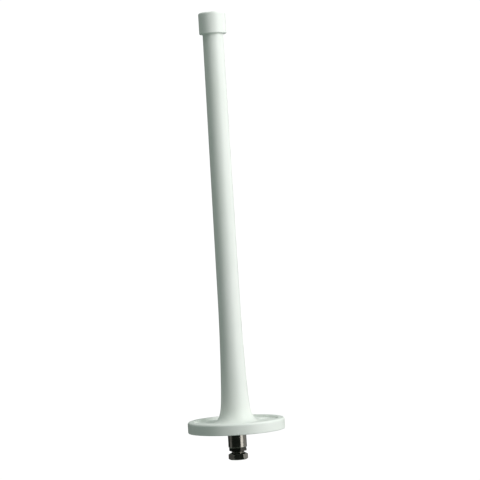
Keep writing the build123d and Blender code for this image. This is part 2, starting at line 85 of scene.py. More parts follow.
def plainMesh(piece):  # bakes the modifiers into the mesh and takes them off
    bpy.context.view_layer.update()
    shown = piece.evaluated_get(bpy.context.evaluated_depsgraph_get())
    data = bpy.data.meshes.new_from_object(shown)
    piece.modifiers.clear()
    piece.data = data
    data.name = piece.name
    return piece


def finishMesh(piece, sharpAngle=32):  # welds, faces outwards, smooth but for true edges
    work = bmesh.new()
    work.from_mesh(piece.data)
    bmesh.ops.remove_doubles(work, verts=work.verts, dist=0.002 * mm)
    bmesh.ops.dissolve_degenerate(work, edges=work.edges, dist=0.0005 * mm)
    bmesh.ops.recalc_face_normals(work, faces=work.faces)
    work.to_mesh(piece.data)
    work.free()
    piece.data.shade_smooth()
    piece.data.set_sharp_from_angle(angle=math.radians(sharpAngle))
    return piece


def combine(piece, tool, operation):  # an exact boolean, after which the tool is gone
    cut = piece.modifiers.new("combine", "BOOLEAN")
    cut.object = tool
    cut.operation = operation
    cut.solver = "EXACT"
    plainMesh(piece)
    bpy.data.objects.remove(tool)
    return piece


def rounded(corners, arcSteps=6, guard=0.25):  # corners of a closed outline: radius, height, rounding
    points = []
    for n, (r, z, *rounding) in enumerate(corners):
        if not rounding:
            points.append((r, z))
            continue
        here = Vector((r, z))
        back = Vector(corners[n - 1][:2]) - here
        ahead = Vector(corners[(n + 1) % len(corners)][:2]) - here
        halfAngle = back.angle(ahead) / 2
        reach = min(rounding[0] / math.tan(halfAngle), 0.45 * back.length, 0.45 * ahead.length)
        radius = reach * math.tan(halfAngle)
        centre = here + (back.normalized() + ahead.normalized()).normalized() * (
            radius / math.sin(halfAngle))
        first = here + back.normalized() * reach - centre
        last = here + ahead.normalized() * reach - centre
        turn = first.angle_signed(last)
        if back.length > 3 * (reach + guard):  # keeps the shading of a long flat true beside a small rounding
            points.append(tuple(here + back.normalized() * (reach + guard)))
        for k in range(arcSteps + 1):
            spoke = Matrix.Rotation(-turn * k / arcSteps, 2) @ first
            points.append(tuple(centre + spoke))
        if ahead.length > 3 * (reach + guard):
            points.append(tuple(here + ahead.normalized() * (reach + guard)))
    return points


def bezier(a, b, c, d, steps):
    points = []
    for k in range(steps + 1):
        t = k / steps
        weights = ((1 - t) ** 3, 3 * t * (1 - t) ** 2, 3 * t * t * (1 - t), t ** 3)
        points.append(tuple(sum(w * p[i] for w, p in zip(weights, (a, b, c, d))) for i in (0, 1)))
    return points


def run(start, end, steps):  # evenly spaced points along a straight stretch
    return [tuple(Vector(start).lerp(Vector(end), k / steps)) for k in range(steps + 1)]


def newTree(name, sizes):  # sizes: input name to its starting value
    tree = bpy.data.node_groups.new(name, "GeometryNodeTree")
    tree.is_modifier = True
    tree.interface.new_socket("Geometry", in_out="INPUT", socket_type="NodeSocketGeometry")
    for label, value in sizes.items():
        kind = "NodeSocketInt" if isinstance(value, int) else "NodeSocketFloat"
        tree.interface.new_socket(label, in_out="INPUT", socket_type=kind).default_value = value
    tree.interface.new_socket("Material", in_out="INPUT", socket_type="NodeSocketMaterial")
    tree.interface.new_socket("Geometry", in_out="OUTPUT", socket_type="NodeSocketGeometry")
    return tree, addNode(tree, "NodeGroupInput").outputs


def endTree(tree, geometry, given):
    real = addNode(tree, "GeometryNodeRealizeInstances", {"Geometry": geometry})
    painted = addNode(tree, "GeometryNodeSetMaterial",
                      {"Geometry": real.outputs[0], "Material": given["Material"]})
    addNode(tree, "NodeGroupOutput", {"Geometry": painted.outputs[0]})
    return tree


def sums(tree, operation, *values):  # one step of arithmetic
    return addNode(tree, "ShaderNodeMath", dict(enumerate(values)), operation=operation).outputs[0]


def grow(piece, tree, values):  # runs a tree on a piece and leaves a plain mesh
    modifier = piece.modifiers.new(tree.name, "NODES")
    modifier.node_group = tree
    identifiers = {item.name: item.identifier for item in tree.interface.items_tree
                   if item.in_out == "INPUT"}
    for name, value in values.items():
        modifier[identifiers[name]] = value
    return plainMesh(piece)


def makeLatheTree():  # turns an outline of edges round the mast's axis
    tree, given = newTree("lathe", {"Steps": 96})
    outline = addNode(tree, "GeometryNodeMeshToCurve", {"Mesh": given["Geometry"]})
    path = addNode(tree, "GeometryNodeCurvePrimitiveCircle",
                   {"Resolution": given["Steps"], "Radius": 0.001 * mm})
    turnedShape = addNode(tree, "GeometryNodeCurveToMesh",
                          {"Curve": path.outputs[0], "Profile Curve": outline.outputs[0]})
    welded = addNode(tree, "GeometryNodeMergeByDistance",
                     {"Geometry": turnedShape.outputs[0], "Distance": 0.002 * mm})
    return endTree(tree, welded.outputs[0], given)


def polar(tree):  # each point's distance from the axis, angle and height
    place = addNode(tree, "GeometryNodeInputPosition").outputs[0]
    x, y, z = addNode(tree, "ShaderNodeSeparateXYZ", {0: place}).outputs
    away = sums(tree, "SQRT", sums(tree, "ADD", sums(tree, "MULTIPLY", x, x), sums(tree, "MULTIPLY", y, y)))
    return place, away, sums(tree, "ARCTAN2", y, x), z


def moveAway(tree, given, place, away, wanted, chosen):  # sets the chosen points' distance from the axis
    share = sums(tree, "DIVIDE", wanted, away)
    scale = addNode(tree, "ShaderNodeCombineXYZ", {0: share, 1: share, 2: 1.0}).outputs[0]
    moved = addNode(tree, "ShaderNodeVectorMath", {0: place, 1: scale}, operation="MULTIPLY").outputs[0]
    shifted = addNode(tree, "GeometryNodeSetPosition", {
        "Geometry": given["Geometry"], "Selection": chosen, "Position": moved})
    return endTree(tree, shifted.outputs[0], given)


def between(tree, value, low, high):
    above = sums(tree, "GREATER_THAN", value, low)
    return sums(tree, "MULTIPLY", above, sums(tree, "LESS_THAN", value, high))


def makeThreadTree():  # presses a screw thread into the rows of a turned face
    tree, given = newTree("thread", {
        "Radius": 0.01, "Depth": 0.0005, "Pitch": 0.001, "Low": 0.0, "High": 0.01})
    place, away, angle, z = polar(tree)
    along = sums(tree, "DIVIDE", z, given["Pitch"])
    turns = sums(tree, "SUBTRACT", along, sums(tree, "DIVIDE", angle, math.tau))
    ridge = sums(tree, "ABSOLUTE", sums(tree, "MULTIPLY_ADD", sums(tree, "FRACT", turns), 2.0, -1.0))
    flank = addNode(tree, "ShaderNodeMapRange", {0: ridge, 1: 0.12, 2: 0.9, 3: 0.0, 4: 1.0}).outputs[0]
    above = sums(tree, "SUBTRACT", z, given["Low"])
    edge = sums(tree, "MINIMUM", above, sums(tree, "SUBTRACT", given["High"], z))
    fade = addNode(tree, "ShaderNodeMapRange", {
        0: edge, 1: 0.0, 2: given["Pitch"], 3: 0.0, 4: 1.0}).outputs[0]
    cut = sums(tree, "MULTIPLY", sums(tree, "MULTIPLY", flank, fade), given["Depth"])
    gap = sums(tree, "ABSOLUTE", sums(tree, "SUBTRACT", away, given["Radius"]))
    near = sums(tree, "LESS_THAN", gap, 0.05 * mm)
    chosen = sums(tree, "MULTIPLY", near, between(tree, z, given["Low"], given["High"]))
    return moveAway(tree, given, place, away, sums(tree, "SUBTRACT", away, cut), chosen)


def makeFlatsTree():  # mills six spanner flats, with corners at 0, 60, 120 degrees and so on
    tree, given = newTree("spanner flats", {
        "Across Flats": 0.01, "Low": 0.0, "High": 0.01, "Softness": 0.0003})
    place, away, angle, z = polar(tree)
    sector = math.radians(60)
    offNormal = sums(tree, "SUBTRACT", sums(tree, "FLOORED_MODULO", angle, sector), sector / 2)
    half = sums(tree, "MULTIPLY", given["Across Flats"], 0.5)
    limit = sums(tree, "DIVIDE", half, sums(tree, "COSINE", offNormal))
    wanted = sums(tree, "SMOOTH_MIN", away, limit, given["Softness"])
    return moveAway(tree, given, place, away, wanted, between(tree, z, given["Low"], given["High"]))


def makeRingTree():  # evenly spaced copies round the axis, each turned a little differently in itself
    tree, given = newTree("ring of copies", {
        "Count": 3, "Radius": 0.03, "First Angle": 0.0, "Loose Turn": 0.0, "Seed": 1})
    index = addNode(tree, "GeometryNodeInputIndex").outputs[0]
    angle = sums(tree, "MULTIPLY_ADD", index, sums(tree, "DIVIDE", math.tau, given["Count"]),
                 given["First Angle"])
    spot = addNode(tree, "ShaderNodeCombineXYZ", {
        0: sums(tree, "MULTIPLY", sums(tree, "COSINE", angle), given["Radius"]),
        1: sums(tree, "MULTIPLY", sums(tree, "SINE", angle), given["Radius"])}).outputs[0]
    points = addNode(tree, "GeometryNodePoints", {"Count": given["Count"], "Position": spot})
    loose = addNode(tree, "FunctionNodeRandomValue", {
        2: 0.0, 3: given["Loose Turn"], "ID": index, "Seed": given["Seed"]}, data_type="FLOAT")
    turn = addNode(tree, "ShaderNodeCombineXYZ", {2: sums(tree, "ADD", angle, loose.outputs[1])}).outputs[0]
    copies = addNode(tree, "GeometryNodeInstanceOnPoints", {
        "Points": points.outputs[0], "Instance": given["Geometry"], "Rotation": turn})
    return endTree(tree, copies.outputs[0], given)


latheTree = makeLatheTree()
threadTree = makeThreadTree()
flatsTree = makeFlatsTree()
ringTree = makeRingTree()


def turned(name, outline, material, steps=128, sharpAngle=32):  # an outline on the axis stays open
    data = bpy.data.meshes.new(name)
    points = [(r * mm, -z * mm, 0) for r, z in outline]  # the sweep turns the outline's Y downwards
    edges = [(n, n + 1) for n in range(len(points) - 1)]
    if outline[0][0] > 0:
        edges.append((len(points) - 1, 0))
    data.from_pydata(points, edges, [])
    piece = meshObject(name, data)
    grow(piece, latheTree, {"Steps": steps, "Material": material})
    return finishMesh(piece, sharpAngle)


def threaded(piece, radius, depth, pitch, low, high, material):  # millimetres; a bore's depth is under 0
    return grow(piece, threadTree, {
        "Radius": radius * mm, "Depth": depth * mm, "Pitch": pitch * mm,
        "Low": low * mm, "High": high * mm, "Material": material})


def withFlats(piece, acrossFlats, low, high, softness, material):
    return grow(piece, flatsTree, {
        "Across Flats": acrossFlats * mm, "Low": low * mm, "High": high * mm,
        "Softness": softness * mm, "Material": material})


def ringOf(piece, count, radius, firstAngle, material, looseTurn=0.0, seed=1):
    return grow(piece, ringTree, {
        "Count": count, "Radius": radius * mm, "First Angle": math.radians(firstAngle),
        "Loose Turn": looseTurn, "Seed": seed, "Material": material})


def spin(piece, degrees):
    piece.data.transform(Matrix.Rotation(math.radians(degrees), 4, "Z"))
    return piece


def slab(name, outline, low, high, material):  # a flat outline given a thickness
    work = bmesh.new()
    rings = [[work.verts.new((x * mm, y * mm, z * mm)) for x, y in outline] for z in (low, high)]
    work.faces.new(reversed(rings[0]))
    work.faces.new(rings[1])
    for n in range(len(outline)):
        work.faces.new((rings[0][n - 1], rings[0][n], rings[1][n], rings[1][n - 1]))
    bmesh.ops.recalc_face_normals(work, faces=work.faces)
    data = bpy.data.meshes.new(name)
    work.to_mesh(data)
    work.free()
    data.materials.append(material)
    return meshObject(name, data)


def oblong(left, right, halfWidth):
    return [(left, -halfWidth), (right, -halfWidth), (right, halfWidth), (left, halfWidth)]


def newMaterial(name):
    made = bpy.data.materials.new(name)
    made.use_nodes = True
    tree = made.node_tree
    tree.nodes.clear()
    place = addNode(tree, "ShaderNodeTexCoord").outputs["Object"]
    return made, tree, place


def finishMaterial(tree, look, height=None, bump=None, **linked):  # linked: sockets by name, _ for a space
    values = {"Base Color": linear(look["colour"]), "Roughness": look["roughness"],
              "Metallic": look.get("metallic", 0.0), "IOR": look.get("ior", 1.5)}
    values.update({name.replace("_", " "): value for name, value in linked.items()})
    if height is not None:
        values["Normal"] = addNode(tree, "ShaderNodeBump", {
            "Height": height, "Distance": bump, "Strength": 1.0}).outputs[0]
    surface = addNode(tree, "ShaderNodeBsdfPrincipled", values)
    addNode(tree, "ShaderNodeOutputMaterial", {"Surface": surface.outputs[0]})


def noise(tree, place, size, detail=2.0, squash=(1, 1, 1)):  # size: metres from lump to lump
    spot = addNode(tree, "ShaderNodeMapping", {"Vector": place, "Scale": squash}).outputs[0]
    return addNode(tree, "ShaderNodeTexNoise", {
        "Vector": spot, "Scale": 1 / size, "Detail": detail, "Roughness": 0.55}).outputs["Fac"]


def remap(tree, value, low, high, fromLow=0.3, fromHigh=0.7):
    return addNode(tree, "ShaderNodeMapRange", {
        "Value": value, "From Min": fromLow, "From Max": fromHigh,
        "To Min": low, "To Max": high}).outputs[0]


def blendColours(tree, share, first, second):
    return addNode(tree, "ShaderNodeMix", {0: share, 6: linear(first), 7: linear(second)},
                   data_type="RGBA").outputs[2]


def asTurned(tree, place):  # distance from the axis and height: marks that a lathe leaves follow these two
    x, y, z = addNode(tree, "ShaderNodeSeparateXYZ", {0: place}).outputs
    away = sums(tree, "SQRT", sums(tree, "ADD", sums(tree, "MULTIPLY", x, x), sums(tree, "MULTIPLY", y, y)))
    return addNode(tree, "ShaderNodeCombineXYZ", {0: away, 2: z}).outputs[0]


# white ASA, moulded in an eroded tool: a satin skin with a faint orange peel and a greenish-white tint
asaLook = {
    "colour": "#F0F3EE", "palerColour": "#F3F5F1", "greyerColour": "#ECF0EA",
    "roughness": 0.42, "roughnessSpread": 0.05,
    "skinSize": 1.4 * mm,  # the real texture is about 0.1 mm, drawn coarser so that it shows
    "skinDepth": 0.008 * mm,
    "driftSize": 40 * mm,  # slow unevenness of the pigment along the flow
}


def makeAsa(look):
    made, tree, place = newMaterial("mouldedAsaPlastic")
    skin = noise(tree, place, look["skinSize"], detail=3.0)
    drift = noise(tree, place, look["driftSize"], squash=(1, 1, 0.4))
    colour = blendColours(tree, remap(tree, drift, 0.0, 1.0), look["palerColour"], look["greyerColour"])
    low = look["roughness"] - look["roughnessSpread"]
    high = look["roughness"] + look["roughnessSpread"]
    finishMaterial(tree, look, skin, look["skinDepth"], Base_Color=colour,
                   Roughness=remap(tree, skin, low, high))
    return made


# metals: lineSize is the feed of the tool or the drawing die, drawn coarser than life so that it shows
metalLooks = {
    # bright nickel over turned brass: a warm grey mirror with fine rings and a slight haze
    "nickelPlatedBrass": {"colour": "#8F8C84", "darkerColour": "#84817A", "roughness": 0.16,
                          "hazyRoughness": 0.24, "lineSize": 0.22 * mm, "lineDepth": 0.0012 * mm,
                          "made": "turned"},
    # the same plating made darker on the plug's body: painted shade for the collar, which sits in the shade
    # under the coupling nut
    "nickelPlatedBrassPaintedShade": {"colour": "#5E5C57", "darkerColour": "#52504B", "roughness": 0.2,
                              "hazyRoughness": 0.3, "lineSize": 0.22 * mm, "lineDepth": 0.0012 * mm,
                              "made": "turned"},
    # aluminium plate faced on a lathe: pale grey with rings that spread from the middle
    "facedAluminium": {"colour": "#C4C6C8", "darkerColour": "#B2B4B7", "roughness": 0.3,
                       "hazyRoughness": 0.42, "lineSize": 0.5 * mm, "lineDepth": 0.004 * mm,
                       "made": "turned"},
    # A4 stainless screws and nuts, cold formed and tumbled: neutral grey, softly mottled
    "tumbledStainless": {"colour": "#A9A8A5", "darkerColour": "#979693", "roughness": 0.26,
                         "hazyRoughness": 0.38, "lineSize": 0.6 * mm, "lineDepth": 0.004 * mm,
                         "made": "tumbled"},
    # gold flash over brass contacts: deep yellow and bright
    "goldPlatedBrass": {"colour": "#DDB35E", "darkerColour": "#D2A650", "roughness": 0.14,
                        "hazyRoughness": 0.22, "lineSize": 0.15 * mm, "lineDepth": 0.0008 * mm,
                        "made": "turned"},
    # drawn copper tube and rod: pink brown with lengthways streaks and slight tarnish
    "drawnCopper": {"colour": "#C8826A", "darkerColour": "#A9664E", "roughness": 0.26,
                    "hazyRoughness": 0.4, "lineSize": 0.5 * mm, "lineDepth": 0.003 * mm,
                    "made": "drawn"},
    # drawn brass sleeves: yellow with lengthways streaks
    "drawnBrass": {"colour": "#CBA662", "darkerColour": "#B48D4A", "roughness": 0.24,
                   "hazyRoughness": 0.36, "lineSize": 0.5 * mm, "lineDepth": 0.003 * mm,
                   "made": "drawn"},
}


def makeMetal(name, look):
    made, tree, place = newMaterial(name)
    if look["made"] == "turned":
        lines = noise(tree, asTurned(tree, place), look["lineSize"], detail=3.0)
    elif look["made"] == "drawn":
        lines = noise(tree, place, look["lineSize"], detail=3.0, squash=(1, 1, 0.02))
    else:
        lines = noise(tree, place, look["lineSize"], detail=2.0)
    haze = noise(tree, place, 4 * mm, detail=2.0)  # handling marks and uneven plating
    colour = blendColours(tree, remap(tree, haze, 0.0, 1.0), look["colour"], look["darkerColour"])
    finishMaterial(tree, dict(look, metallic=1.0), lines, look["lineDepth"], Base_Color=colour,
                   Roughness=remap(tree, haze, look["roughness"], look["hazyRoughness"]))
    return made


# rubbers: skinSize is the texture of the mould; a dusting of talc lifts the colour in patches
rubberLooks = {
    # moulded EPDM: near black, dull
    "blackRubber": {"colour": "#1B1C1C", "bloomColour": "#2C2D2D", "roughness": 0.7},
    # sheet EPDM cut to shape: mid grey, dull
    "greySheetRubber": {"colour": "#55585A", "bloomColour": "#64676A", "roughness": 0.75},
    # moulded silicone ring: brick red with a slight gloss
    "redSilicone": {"colour": "#9A4636", "bloomColour": "#A85544", "roughness": 0.45},
}
rubberSkinSize = 0.5 * mm
rubberSkinDepth = 0.02 * mm


def makeRubber(name, look):
    made, tree, place = newMaterial(name)
    skin = noise(tree, place, rubberSkinSize, detail=3.0)
    bloom = noise(tree, place, 6 * mm, detail=3.0)
    colour = blendColours(tree, remap(tree, bloom, 0.0, 1.0, 0.45, 0.75), look["colour"], look["bloomColour"])
    finishMaterial(tree, look, skin, rubberSkinDepth, Base_Color=colour,
                   Roughness=remap(tree, skin, look["roughness"] - 0.06, look["roughness"] + 0.06))
    return made


# turned PTFE: waxy white, very low gloss contrast, fine tool rings
ptfeLook = {"colour": "#EDEDE8", "duller": "#E4E4DD", "roughness": 0.4, "ior": 1.38,
            "lineSize": 0.3 * mm, "lineDepth": 0.003 * mm}


def makePtfe(look):
    made, tree, place = newMaterial("turnedPtfe")
    lines = noise(tree, asTurned(tree, place), look["lineSize"], detail=3.0)
    clouds = noise(tree, place, 5 * mm)
    colour = blendColours(tree, remap(tree, clouds, 0.0, 1.0), look["colour"], look["duller"])
    finishMaterial(tree, look, lines, look["lineDepth"], Base_Color=colour,
                   Roughness=remap(tree, lines, 0.34, 0.46))
    return made


# closed-cell polyethylene foam cut from sheet: off-white, matt, with cells about 0.8 mm across
foamLook = {"colour": "#E4E4DF", "cellColour": "#C9C9C2", "roughness": 0.9,
            "cellSize": 0.8 * mm, "cellDepth": 0.12 * mm}


def makeFoam(look):
    made, tree, place = newMaterial("polyethyleneFoam")
    cells = addNode(tree, "ShaderNodeTexVoronoi", {
        "Vector": place, "Scale": 1 / look["cellSize"]}).outputs["Distance"]
    colour = blendColours(tree, remap(tree, cells, 0.0, 1.0, 0.2, 0.8), look["cellColour"], look["colour"])
    finishMaterial(tree, look, cells, look["cellDepth"], Base_Color=colour)
    return made


asa = makeAsa(asaLook)
metals = {name: makeMetal(name, look) for name, look in metalLooks.items()}
rubbers = {name: makeRubber(name, look) for name, look in rubberLooks.items()}
ptfe = makePtfe(ptfeLook)
foam = makeFoam(foamLook)
nickel = metals["nickelPlatedBrass"]
# the plug body's darker nickel is painted shade, not a different plating
nickelPaintedShade = metals["nickelPlatedBrassPaintedShade"]
stainless = metals["tumbledStainless"]
print("materials made:", len(bpy.data.materials))


def place(piece, body, slot, *nodes):  # hands a finished piece to the frame
    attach(piece, body)
    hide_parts(*nodes)
    print("piece made:", piece.name, len(piece.data.polygons), "faces")


# millimetres; the outline runs from the deck seat up the outside of the mast and down its bore
radomeSizes = {
    "seatRadius": 42.2, "seatHeight": 3.6,
    "grooveInner": 44.5, "grooveOuter": 48.0, "grooveDepth": 2.2,
    "flangeRadius": 50.0, "flangeHeight": 11.5, "edgeRound": 1.0, "rimRound": 2.4,
    "rimInner": 43.2, "rimInnerRound": 1.0, "moatRadius": 42.4, "moatRound": 1.2, "moatFloor": 9.0,
    "flare": ((26.0, 9.0), (17.5, 9.0), (15.2, 18.0), (14.3, 33.0)),
    "waist": ((14.3, 33.0), (13.15, 51.0), (11.62, 92.0), (11.5, 132.0)),
    "tipRadius": 10.65, "tipChamfer": 0.4, "sealLow": 414.5, "sealHigh": 416.1, "sealRadius": 9.85,
    "boreTip": 8.1,
    "boreWaist": ((8.9, 132.0), (8.95, 95.0), (10.4, 52.0), (11.4, 33.0)),
    "boreFlare": ((11.4, 33.0), (12.4, 18.5), (15.2, 8.2), (22.0, 7.5)),
    "webInner": 22.0, "webOuter": 23.6, "ceiling": 6.4, "cavityRadius": 39.5,
    "screwCircle": 33.5, "holeRadius": 2.7, "sinkRadius": 5.2, "bossRadius": 8.0, "pilotBoss": 4.5,
    "pilotRadius": 1.5, "pilotTop": 7.9, "ribCount": 12, "ribThickness": 1.6, "steps": 160,
}


def makeRadome(s):
    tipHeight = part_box("radome")[1].z / mm
    waistTop = s["waist"][-1]

    def taperAt(height):  # the mast's outside radius on its straight taper
        share = (height - waistTop[1]) / (tipHeight - waistTop[1])
        return waistTop[0] + share * (s["tipRadius"] - waistTop[0])

    underside = [
        (s["seatRadius"], 0.0, 0.2), (s["grooveInner"], 0.0, 0.2), (s["grooveInner"], s["grooveDepth"], 0.2),
        (s["grooveOuter"], s["grooveDepth"], 0.2), (s["grooveOuter"], 0.0, 0.2),
        (s["flangeRadius"], 0.0, s["edgeRound"]), (s["flangeRadius"], s["flangeHeight"], s["rimRound"]),
        (s["rimInner"], s["flangeHeight"], s["rimInnerRound"]),
        (s["moatRadius"], s["moatFloor"], s["moatRound"])]
    mast = bezier(*s["flare"], 28) + bezier(*s["waist"], 24)[1:]
    mast += run(waistTop, (taperAt(s["sealLow"]), s["sealLow"]), 24)[1:]
    tip = [
        (s["sealRadius"], s["sealLow"]), (s["sealRadius"], s["sealHigh"]),
        (taperAt(s["sealHigh"]), s["sealHigh"]), (s["tipRadius"], tipHeight - s["tipChamfer"]),
        (s["tipRadius"] - s["tipChamfer"], tipHeight), (s["boreTip"], tipHeight, 0.3)]
    bore = bezier(*s["boreWaist"], 16) + bezier(*s["boreFlare"], 16)[1:]
    web = [
        (s["webInner"], s["seatHeight"]), (s["webOuter"], s["seatHeight"]), (s["webOuter"], s["ceiling"]),
        (s["cavityRadius"], s["ceiling"]), (s["cavityRadius"], s["seatHeight"]),
        (s["seatRadius"], s["seatHeight"])]
    radome = turned("mastRadome", rounded(underside + mast + tip + bore + web, arcSteps=8), asa, s["steps"])
    wallReach = 0.2  # how far bosses and ribs run into the wall
    top = s["ceiling"] + 0.4
    boss = turned("bosses", [(0, 3.0), (s["bossRadius"], 3.0), (s["bossRadius"], top), (0, top)], asa, 48)
    bosses = ringOf(boss, 3, s["screwCircle"], 30, asa)
    trim = turned("trim", [
        (0, 2.0), (s["cavityRadius"], 2.0), (s["cavityRadius"], s["seatHeight"]),
        (s["cavityRadius"] + wallReach, s["seatHeight"]),
        (s["cavityRadius"] + wallReach, top + 1), (0, top + 1)],
        asa, s["steps"])
    combine(radome, combine(bosses, trim, "INTERSECT"), "UNION")
    pilots = turned("pilots", [(0, 3.0), (s["pilotBoss"], 3.0), (s["pilotBoss"], top), (0, top)], asa, 48)
    combine(radome, ringOf(pilots, 3, s["screwCircle"], 90, asa), "UNION")
    length = s["cavityRadius"] - s["webInner"]
    rib = oblong(-length / 2, length / 2, s["ribThickness"] / 2)
    ribs = slab("ribs", rib, s["seatHeight"] + 0.1, top, asa)
    middle = (s["webInner"] + s["cavityRadius"]) / 2 + 0.4
    combine(radome, ringOf(ribs, s["ribCount"], middle, 15, asa), "UNION")
    sinkDepth = s["sinkRadius"] - s["holeRadius"]
    holes = turned("holes", [
        (0, 2.0), (s["holeRadius"], 2.0), (s["holeRadius"], s["moatFloor"] - sinkDepth),
        (s["sinkRadius"], s["moatFloor"]), (s["sinkRadius"], s["moatFloor"] + 3), (0, s["moatFloor"] + 3)],
        asa, 64)
    combine(radome, ringOf(holes, 3, s["screwCircle"], 30, asa), "DIFFERENCE")
    bores = turned("bores", [(0, 2.0), (s["pilotRadius"], 2.0), (s["pilotRadius"], s["pilotTop"]),
                             (0, s["pilotTop"] + 0.5)], asa, 32)
    combine(radome, ringOf(bores, 3, s["screwCircle"], 90, asa), "DIFFERENCE")
    place(finishMesh(radome), "antenna", "asa", "radome")


capSizes = {"radius": 14.05, "bore": 10.75, "topThickness": 3.0, "topRound": 1.8, "mouthRound": 0.5}


def makeEndCap(s):
    low, high = (corner.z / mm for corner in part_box("end_cap"))
    shell = rounded([
        (0, high), (s["radius"], high, s["topRound"]), (s["radius"], low, s["mouthRound"]),
        (s["bore"], low, 0.3), (s["bore"], high - s["topThickness"], 0.6), (0, high - s["topThickness"])],
        arcSteps=10)
    place(turned("endCap", shell, asa, 160), "antenna", "asa", "end_cap")


threadRows = 14  # rows of points in each turn of a thread
jackPitch = 1.0583  # 24 turns to the inch
jackThreadDepth = 0.55
clampPitch = 0.75
clampThreadDepth = 0.3

couplingNutSizes = {
    "radius": 9.5, "topBevel": 0.5, "bottomBevel": 0.8, "bore": 8.0, "shoulder": -11.2,
    "rearBore": 7.45, "grooveRadius": 8.2, "grooveTop": -12.2, "grooveBottom": -13.5,
}


def makeCouplingNut(s):
    low, high = (corner.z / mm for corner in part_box("coupling_nut"))
    threadTop = high - 0.9
    threadBottom = s["shoulder"] + 0.3
    barrel = rounded([
        (s["bore"] + 0.4, high, 0.1), (s["radius"] - s["topBevel"], high, 0.15),
        (s["radius"], high - s["topBevel"], 0.2), (s["radius"], low + s["bottomBevel"], 0.3),
        (s["radius"] - s["bottomBevel"], low, 0.2), (s["rearBore"], low, 0.15),
        (s["rearBore"], s["grooveBottom"]), (s["grooveRadius"], s["grooveBottom"]),
        (s["grooveRadius"], s["grooveTop"]), (s["rearBore"], s["grooveTop"]),
        (s["rearBore"], s["shoulder"])], guard=0.12)
    turns = (threadTop - threadBottom) / jackPitch
    barrel += run((s["bore"], threadBottom), (s["bore"], threadTop), round(turns * threadRows))
    nut = turned("couplingNut", barrel, nickel, 144)
    threaded(nut, s["bore"], -jackThreadDepth, jackPitch, threadBottom, threadTop, nickel)
    place(finishMesh(nut), "coupling_nut", "nickel", "coupling_nut")


jackSizes = {
    "flangeSide": 25.4, "flangeCorner": 1.5, "flangeLow": 3.7, "flangeHigh": 6.1, "holeSpacing": 18.26,
    "holeRadius": 1.6, "threadRadius": 7.94, "threadTop": -1.2, "front": -10.5, "throatRadius": 4.2,
    "throatTop": -4.9, "insulatorRadius": 3.5, "insulatorTop": 8.5, "collarRadius": 5.5,
    "collarTop": 12.1, "lineBore": 3.195,
}


def makeJackBody(s):
    threadBottom = s["front"] + 0.6
    turns = (s["threadTop"] - threadBottom) / jackPitch
    barrel = rounded([
        (s["insulatorRadius"], s["insulatorTop"]), (s["insulatorRadius"], s["throatTop"]),
        (s["throatRadius"], s["throatTop"]), (s["throatRadius"], s["front"], 0.2),
        (s["threadRadius"] - 0.6, s["front"], 0.15)], guard=0.12)
    barrel += run((s["threadRadius"], threadBottom), (s["threadRadius"], s["threadTop"]),
                  round(turns * threadRows))
    flangeMiddle = (s["flangeLow"] + s["flangeHigh"]) / 2
    barrel += [(s["threadRadius"], flangeMiddle), (s["collarRadius"], flangeMiddle),
               (s["collarRadius"], s["collarTop"]), (s["lineBore"], s["collarTop"]),
               (s["lineBore"], s["insulatorTop"])]
    jack = turned("jackBody", barrel, nickel, 144)
    threaded(jack, s["threadRadius"], jackThreadDepth, jackPitch, threadBottom, s["threadTop"], nickel)
    half = s["flangeSide"] / 2
    corners = ((-1, -1), (1, -1), (1, 1), (-1, 1))
    square = rounded([(x * half, y * half, s["flangeCorner"]) for x, y in corners])
    flange = slab("flange", square, s["flangeLow"], s["flangeHigh"], nickel)
    low, high = s["flangeLow"] - 1, s["flangeHigh"] + 1
    hole = [(0, low), (s["holeRadius"], low), (s["holeRadius"], high), (0, high)]
    holes = turned("holes", hole, nickel, 32)
    combine(flange, ringOf(holes, 4, s["holeSpacing"] / math.sqrt(2), 45, nickel), "DIFFERENCE")
    core = turned("core", [(0, low), (6.5, low), (6.5, high), (0, high)], nickel, 96)
    combine(flange, core, "DIFFERENCE")
    place(finishMesh(combine(jack, flange, "UNION")), "antenna", "nickel", "jack_body")


plugSizes = {
    "fingerRadius": 4.03, "fingerTip": -5.0, "fingerBore": 3.5, "slotWidth": 0.3, "slotLength": 4.5,
    "shoulder": -11.5, "radius": 7.35, "grooveRadius": 6.7, "grooveTop": -12.3, "grooveBottom": -13.4,
    "collarTop": -17.9, "acrossFlats": 16.0, "collarTurn": 47.0, "collarBevel": 0.3,
    "clampBore": 6.55, "clampBoreTop": -14.2, "seatRadius": 5.6, "seatTop": -12.2,
}


